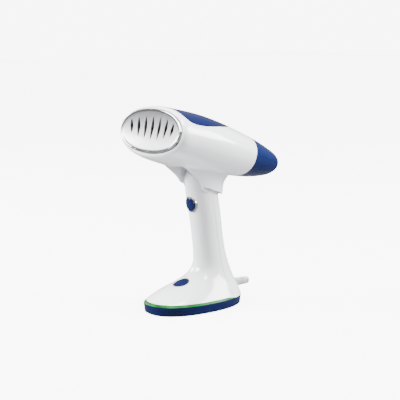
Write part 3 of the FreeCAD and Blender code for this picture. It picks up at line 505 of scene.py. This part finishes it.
TRIGGER_OPENING = (9.15, OPENING_DEPTH, 0.5)  # radius, depth, softness of the edge
POWER_OPENING = (9.5, OPENING_DEPTH, 0.7)
TRIGGER_HEIGHT = 118.7
POWER_Y = -18.0
SCREW_WELL = (3.4, 6.0, 0.4)  # radius, depth, softness of the edge
SCREW_HEIGHTS = (58.0, 96.0)
POCKET_REACH = 9.0  # keeps a pocket to its own side of the handle
SKIN = 1.2


def handle_row(z):
    """Centre, half-width, half-depth and power of the handle at heights; round above the hinge."""
    low = np.minimum(z, PIVOT_Z)
    centre, wide, deep, power = (through(HANDLE[:, 0], HANDLE[:, k], low) for k in (1, 2, 3, 4))
    shrink = np.sqrt(np.clip(1 - (np.maximum(z - PIVOT_Z, 0) / KNUCKLE) ** 2, 0, 1))
    return centre, wide * shrink, deep * shrink, power


def handle_point(z, angle):
    """Superellipse of the row at each height."""
    centre, wide, deep, power = handle_row(z)
    c, s = oval(angle, power)
    return wide * c, centre + deep * s


def seam_y(z):
    """Where the seam plane between the front and rear mouldings stands at a height."""
    return 35.2 - 0.152 * z


def seam_angle(z):
    """Angle at which a row meets the seam plane."""
    centre, _, deep, power = handle_row(z)
    part = np.clip((seam_y(z) - centre) / np.maximum(deep, 0.5), -0.98, 0.98)
    return np.sign(part) * np.arcsin(np.abs(part) ** (power / 2))


def button_axis(low, high, z=None, y=None):
    """A point on the front surface between two rows, and the way out of it."""
    y0, y1 = HANDLE[low, 1] - HANDLE[low, 3], HANDLE[high, 1] - HANDLE[high, 3]
    slope = (y1 - y0) / (HANDLE[high, 0] - HANDLE[low, 0])
    if z is None:
        z = HANDLE[low, 0] + (y - y0) / slope
    out = np.array([0.0, -1.0, slope])
    return np.array([0.0, y0 + slope * (z - HANDLE[low, 0]), z]), out / np.linalg.norm(out)


def pocket(points, axis, size):
    """Pushes points near an axis inwards along it, over a soft edge; also says which lie on the floor."""
    radius, depth, soft = size
    centre, out = axis
    away = points - centre
    along = away @ out
    radial = np.linalg.norm(away - along[..., None] * out, axis=-1)
    push = ease((radius - radial) / soft) * (np.abs(along) < POCKET_REACH)
    return points - depth * push[..., None] * out, push > 0.98


def handle_sheet(front, rows, cols, sizes):
    """Half of the handle: angle runs between the seams, height from the strip's edge to the knuckle's pole.

    Near a border the surface turns in along a quarter circle.
    """
    if front:
        across = dense(cols, 0.5, 0.16, 1.2)
        up = dense(rows, 0.13, 0.1, 2.2)
    else:
        across = dense(cols, 0.5, 0.1, 3.0)
        up = dense(rows, 0.45, 0.3, 1.0)
    rim = np.array([0.0, 0.0016, 0.004, 0.008])
    across = np.concatenate([rim, across[1:-1] * 0.976 + 0.012, 1 - rim[::-1]])[None, :]
    up = np.concatenate([[0.0, 0.0012, 0.003], 0.006 + 0.994 * up[1:]])[:, None]

    def angles(z):
        edge = seam_angle(z)
        gap = sizes.seam / MM / 2 / SEAM_REACH
        if front:
            start, end = math.pi - edge + gap, 2 * math.pi + edge - gap
        else:
            start, end = edge + gap, math.pi - edge - gap
        return start + (end - start) * across

    _, y = handle_point(np.full((1, 1), 12.0), angles(np.full((1, 1), 12.0)))
    low = np.interp(y, [STRIP[0][0], STRIP[1][0]], [STRIP[0][1], STRIP[1][1]])
    z = low + (PIVOT_Z - low) * up
    turn = np.linspace(0, math.pi / 2, 22)[1:, None] + 0 * across
    z = np.concatenate([z, PIVOT_Z + KNUCKLE * np.sin(turn)])
    angle = angles(z)
    x, y = handle_point(z, angle)
    centre, _, deep, _ = handle_row(z)
    reach = np.minimum(across, 1 - across) * np.abs(angle[:, -1:] - angle[:, :1]) * np.maximum(deep, 1)
    edge = sizes.edge / MM
    inset = edge * (1 - np.sqrt(1 - (1 - np.clip(reach / edge, 0, 1)) ** 2))
    inset = inset + edge * (1 - np.sqrt(1 - (1 - np.clip((z - low) / edge, 0, 1)) ** 2))
    pull = 1 - inset / np.maximum(np.hypot(x, y - centre), 1.0)
    return np.stack([x * pull, centre + (y - centre) * pull, z], -1)


class OBJECT_OT_steamer_handle(bpy.types.Operator):
    """Front and rear mouldings of the handle and foot, with their seam, button openings and screw wells"""

    bl_idname = "object.steamer_handle"
    bl_label = "Handle"

    def execute(self, context):
        sizes = context.scene.steamer_sizes
        points = handle_sheet(True, 200, 190, sizes)
        points, trigger_hole = pocket(points, button_axis(8, 9, z=TRIGGER_HEIGHT), TRIGGER_OPENING)
        points, power_hole = pocket(points, button_axis(3, 4, y=POWER_Y), POWER_OPENING)
        front = finish_mesh(sheet_mesh("handle_front_skin", points, hole=trigger_hole | power_hole))
        points = handle_sheet(False, 210, 110, sizes)
        for z in SCREW_HEIGHTS:
            back = np.array([0.0, seam_y(z) + SEAM_REACH, z])
            points, _ = pocket(points, (back, np.array([0.0, 1.0, 0.0])), SCREW_WELL)
        rear = finish_mesh(sheet_mesh("handle_rear_skin", points))
        for mesh, node in ((front, "handle_front_shell"), (rear, "handle_rear_shell")):
            skin = piece(mesh.name, mesh, "white_gloss", "stand", node)
            wall = skin.modifiers.new("wall", "SOLIDIFY")
            wall.thickness = SKIN * MM
            wall.offset = -1.0
        return {"FINISHED"}


# ---- Plate and ring

RING = (51.7, 24.3)
PLATE = (49.5, 22.1)
PLATE_POWER = 2.15
PLATE_SET = 0.8  # how far the plate's edge lies behind the ring's face
DISH = 2.6
SLOTS = (15.7, 21.0, 23.6, 26.0, 25.0, 21.6, 15.7)  # lengths, from left to right
SLOT_PITCH = 11.7
SLOT_LEAN = 4.0  # degrees more from each slot to the next
SLOT_RISE = 3.2
SLOT_SWELL = 2.0  # half the width at a slot's middle
STEAM_HOLE = 2.4
SLOT_DEPTH = 3.4


def slot_depth(x, v, place, length):
    """How far a point lies inside one slot: a lens between two arcs, joined to a round hole."""
    lean = math.radians(SLOT_LEAN * place)
    dx, dv = x - SLOT_PITCH * place, v - SLOT_RISE
    along = dx * math.sin(lean) + dv * math.cos(lean)
    side = dx * math.cos(lean) - dv * math.sin(lean)
    half = length / 2
    radius = (half**2 + SLOT_SWELL**2) / (2 * SLOT_SWELL)
    width = np.sqrt(np.maximum(radius**2 - along**2, 0)) - (radius - SLOT_SWELL)
    width = np.where(np.abs(along) > half, -1.0, width)
    return np.maximum(width - np.abs(side), STEAM_HOLE - np.hypot(along, side))


class OBJECT_OT_steamer_plate(bpy.types.Operator):
    """Dished steam plate with its seven slots"""

    bl_idname = "object.steamer_plate"
    bl_label = "Steam plate"

    def execute(self, context):
        a, b = PLATE
        x = a * np.sin(np.linspace(-math.pi / 2, math.pi / 2, 451))[None, :]
        edge = b * np.clip(1 - np.abs(x / a) ** PLATE_POWER, 0, 1) ** (1 / PLATE_POWER)
        v = edge * np.linspace(-1, 1, 151)[:, None]
        x = x + 0 * v
        out = (np.abs(x / a) ** PLATE_POWER + np.abs(v / b) ** PLATE_POWER) ** (1 / PLATE_POWER)
        s = PLATE_SET + DISH * (1 - out**2.4) - 0.5 * ease((out - 0.94) / 0.06)
        inside = np.full_like(s, -1.0)
        for k, length in enumerate(SLOTS):
            inside = np.maximum(inside, slot_depth(x, v, k - 3, length))
        s = s + SLOT_DEPTH * ease((inside + 0.12) / 0.34)
        # Painted shade: the slots and a thin band round the plate's rim, next to the ring, turn near black.
        painted_shade = np.maximum(ease((inside + 0.25) / 0.3), 0.85 * ease((out - 0.975) / 0.02))
        mesh = sheet_mesh("steam_plate_face", in_head(x, s, v), painted_shade=painted_shade)
        finish_mesh(mesh, (0.0, 6.0 * COS, -6.0 * SIN))
        piece(mesh.name, mesh, "plate_metal", "head", "steam_plate")
        return {"FINISHED"}


class OBJECT_OT_steamer_ring(bpy.types.Operator):
    """Bright ring round the plate: a rounded profile carried along the plate's oval"""

    bl_idname = "object.steamer_ring"
    bl_label = "Ring"

    def execute(self, context):
        turn = np.linspace(0, math.pi / 2, 9)
        outer = np.stack([0.75 - 0.75 * np.cos(turn), 0.75 - 0.75 * np.sin(turn)], -1)
        inner = np.stack([1.35 + 0.7 * np.sin(turn), 0.9 - 0.9 * np.cos(turn)], -1)
        profile = np.concatenate([[(0.05, 8.0), (0.0, 4.5)], outer, inner, [(2.08, 4.5), (2.08, 8.0)]])
        inset, s = profile[:, 0][:, None], profile[:, 1][:, None]
        c, q = oval(np.linspace(0, 2 * math.pi, 361)[None, :-1], PLATE_POWER)
        x, v = (RING[0] - inset) * c, (RING[1] - inset) * q
        # Painted shade: the ring's side wall, from about 0.6 mm behind its face, turns dark where the gap to the
        # head would shade it.
        painted_shade = ease((s - 0.62) / 0.3) + 0 * x
        points = in_head(x, s + 0 * x, v)
        points, painted_shade = (np.concatenate([grid, grid[:1]]) for grid in (points, painted_shade))
        mesh = finish_mesh(sheet_mesh("ring_trim", points, around=True, painted_shade=painted_shade))
        piece(mesh.name, mesh, "silver_trim", "head", "plate_ring")
        return {"FINISHED"}


# ---- Cord sleeve

SLEEVE_Z = 19.5
SLEEVE = (49.8, 84.4)  # where the sleeve starts and ends
HEEL_Y = 58.9  # where the sleeve leaves the heel
RIBS = (60.7, 3.6, 7)  # first rib's middle, pitch and count
RIB_HALF = 1.1
RIB_HEIGHT = (1.6, 0.9)  # of the first rib, and how much lower the last one would be
CORE_R, COLLAR_R, FLANGE_R, BORE_R = 3.6, 5.85, 7.3, 3.15


class OBJECT_OT_steamer_sleeve(bpy.types.Operator):
    """Ribbed sleeve at the heel: ribs that shrink towards the open end, turned round the cord's line"""

    bl_idname = "object.steamer_sleeve"
    bl_label = "Cord sleeve"

    def execute(self, context):
        start, end = SLEEVE
        first, pitch, count = RIBS
        y = np.linspace(HEEL_Y + 0.2, end - 0.3, 150)
        k = np.clip(np.round((y - first) / pitch), 0, count - 1)
        off = np.clip(np.abs(y - first - k * pitch) / RIB_HALF, 0, 1)
        r = CORE_R + (RIB_HEIGHT[0] - RIB_HEIGHT[1] * k / count) * np.sqrt(1 - off**4)
        flange = [(start, BORE_R), (start, FLANGE_R), (start + 2.3, FLANGE_R)]
        inner = [*flange, (start + 2.4, COLLAR_R), (HEEL_Y, COLLAR_R)]
        outer = [(end, 3.5), (end - 0.1, 3.25), (end - 0.5, BORE_R)]
        profile = np.concatenate([inner, np.stack([y, r], -1), outer])
        y, r = profile[:, 0][:, None], profile[:, 1][:, None]
        turn = np.linspace(0, 2 * math.pi, 97)[None, :-1]
        points = np.stack([r * np.cos(turn), y + 0 * turn, SLEEVE_Z + r * np.sin(turn)], -1)
        points = np.concatenate([points, points[:1]])
        mesh = finish_mesh(sheet_mesh("ribbed_sleeve", points, around=True))
        piece(mesh.name, mesh, "white_rubber", "stand", "strain_relief")
        return {"FINISHED"}


# ---- Stage

MIDDLE = Vector((0.0, 0.015, 0.13))  # what the lights point at
LIGHTS = (
    # name, place, size in metres, power
    ("key", (-0.75, -1.05, 0.95), 0.8, 92.0),
    ("flank", (0.85, 1.05, 0.85), 0.9, 84.0),
    ("top", (0.25, -0.1, 1.6), 0.8, 78.0),
    ("left", (-1.35, -0.25, 0.55), 0.5, 36.0),
)
CAMERA_PLACE = (1.05443, -0.89617, 0.33985)
CAMERA_AIM = (-0.74912, 0.64413, -0.15464)
LENS = 111.67
FLOOR_HALF = 6.0
SHADE_SIDE = (0.90, -0.42, -0.12)  # where the studio is darkest


def studio_world():
    """Grey studio, darker on one side, that the camera itself sees as near white."""
    world = bpy.data.worlds.new("studio")
    world.use_nodes = True
    sky = world.node_tree
    place = sky.nodes.new("ShaderNodeTexCoord")
    facing = sky.nodes.new("ShaderNodeVectorMath")
    facing.operation = "DOT_PRODUCT"
    facing.inputs[1].default_value = SHADE_SIDE
    sky.links.new(place.outputs["Generated"], facing.inputs[0])
    ramp = sky.nodes.new("ShaderNodeMapRange")
    ramp.interpolation_type = "SMOOTHSTEP"
    ramp.inputs["From Min"].default_value = 0.1
    ramp.inputs["From Max"].default_value = 0.95
    ramp.inputs["To Min"].default_value = 0.35
    ramp.inputs["To Max"].default_value = 0.08
    sky.links.new(facing.outputs["Value"], ramp.inputs["Value"])
    path = sky.nodes.new("ShaderNodeLightPath")
    pick = sky.nodes.new("ShaderNodeMix")
    pick.inputs["B"].default_value = 8.0
    sky.links.new(path.outputs["Is Camera Ray"], pick.inputs["Factor"])
    sky.links.new(ramp.outputs["Result"], pick.inputs["A"])
    sky.links.new(pick.outputs["Result"], sky.nodes["Background"].inputs["Strength"])
    sky.nodes["Background"].inputs["Color"].default_value = (1.0, 1.0, 1.0, 1)
    return world


class OBJECT_OT_steamer_stage(bpy.types.Operator):
    """Pale floor, soft studio lights and the camera"""

    bl_idname = "object.steamer_stage"
    bl_label = "Stage"

    def execute(self, context):
        scene = context.scene
        edge = FLOOR_HALF
        square = [(-edge, -edge, 0), (edge, -edge, 0), (edge, edge, 0), (-edge, edge, 0)]
        mesh = bpy.data.meshes.new("floor")
        mesh.from_pydata(square, [], [(0, 1, 2, 3)])
        floor = bpy.data.objects.new("floor", mesh)
        scene.collection.objects.link(floor)
        mesh.materials.append(lit_table("pale_floor"))
        scene.world = studio_world()
        for name, place, size, power in LIGHTS:
            lamp = bpy.data.lights.new(name, "AREA")
            lamp.shape = "RECTANGLE"
            lamp.size = size
            lamp.size_y = size * 0.8
            lamp.energy = power
            holder = bpy.data.objects.new(name, lamp)
            holder.location = place
            holder.rotation_euler = (MIDDLE - Vector(place)).to_track_quat("-Z", "Y").to_euler()
            scene.collection.objects.link(holder)
        camera = bpy.data.objects.new("camera", bpy.data.cameras.new("camera"))
        camera.data.lens = LENS
        camera.data.sensor_width = 36.0
        camera.data.clip_start = 0.01
        camera.location = CAMERA_PLACE
        camera.rotation_euler = Vector(CAMERA_AIM).to_track_quat("-Z", "Y").to_euler()
        scene.collection.objects.link(camera)
        scene.camera = camera
        return {"FINISHED"}


class VIEW3D_PT_steamer(bpy.types.Panel):
    """Lists the steamer's operators"""

    bl_idname = "VIEW3D_PT_steamer"
    bl_label = "Steamer"
    bl_space_type = "VIEW_3D"
    bl_region_type = "UI"
    bl_category = "Steamer"

    def draw(self, context):
        for operator in OPERATORS:
            self.layout.operator(operator.bl_idname)
        for group in (context.scene.steamer_sizes, context.scene.steamer_colours):
            for name in group.__annotations__:
                self.layout.prop(group, name)


OPERATORS = (
    OBJECT_OT_steamer_finishes,
    OBJECT_OT_steamer_handle,
    OBJECT_OT_steamer_plate,
    OBJECT_OT_steamer_ring,
    OBJECT_OT_steamer_sleeve,
    OBJECT_OT_steamer_stage,
)
CLASSES = (SteamerSizes, SteamerColours, *OPERATORS, VIEW3D_PT_steamer)


def register():
    for cls in CLASSES:
        bpy.utils.register_class(cls)
    bpy.types.Scene.steamer_sizes = bpy.props.PointerProperty(type=SteamerSizes)
    bpy.types.Scene.steamer_colours = bpy.props.PointerProperty(type=SteamerColours)


def unregister():
    del bpy.types.Scene.steamer_colours
    del bpy.types.Scene.steamer_sizes
    for cls in reversed(CLASSES):
        bpy.utils.unregister_class(cls)


def main():
    """Runs every operator in order."""
    register()
    for operator in OPERATORS:
        family, name = operator.bl_idname.split(".")
        getattr(getattr(bpy.ops, family), name)()


if __name__ == "__main__":
    main()
